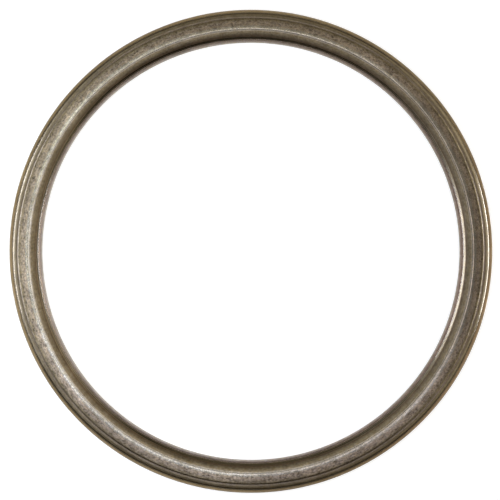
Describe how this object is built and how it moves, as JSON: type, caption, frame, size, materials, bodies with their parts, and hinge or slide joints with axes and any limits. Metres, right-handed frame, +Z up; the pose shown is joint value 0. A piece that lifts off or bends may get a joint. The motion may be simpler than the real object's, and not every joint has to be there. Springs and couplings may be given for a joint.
{
  "type": "exhaust gasket",
  "caption": "Pressed sheet-steel ring gasket for a round exhaust joint, with a crowned ridge, a stepped outer bead and flat lips at bore and rim.",
  "frame": {"origin": "centre of the ring, on the plane of the underside of its two flat lips", "axes": "+Z up along the ring's axis, from the lips towards the ridge; the ring is the same all round, so +X and +Y are free"},
  "size_m": [0.1042, 0.1042, 0.0013],
  "materials": {
    "gasket_steel": "dull brown-grey pressed steel, satin on the inner flank and grainy on the outer slope"
  },
  "bodies": {
    "root": {"gasket_ring": "gasket_steel"}
  },
  "joints": []
}
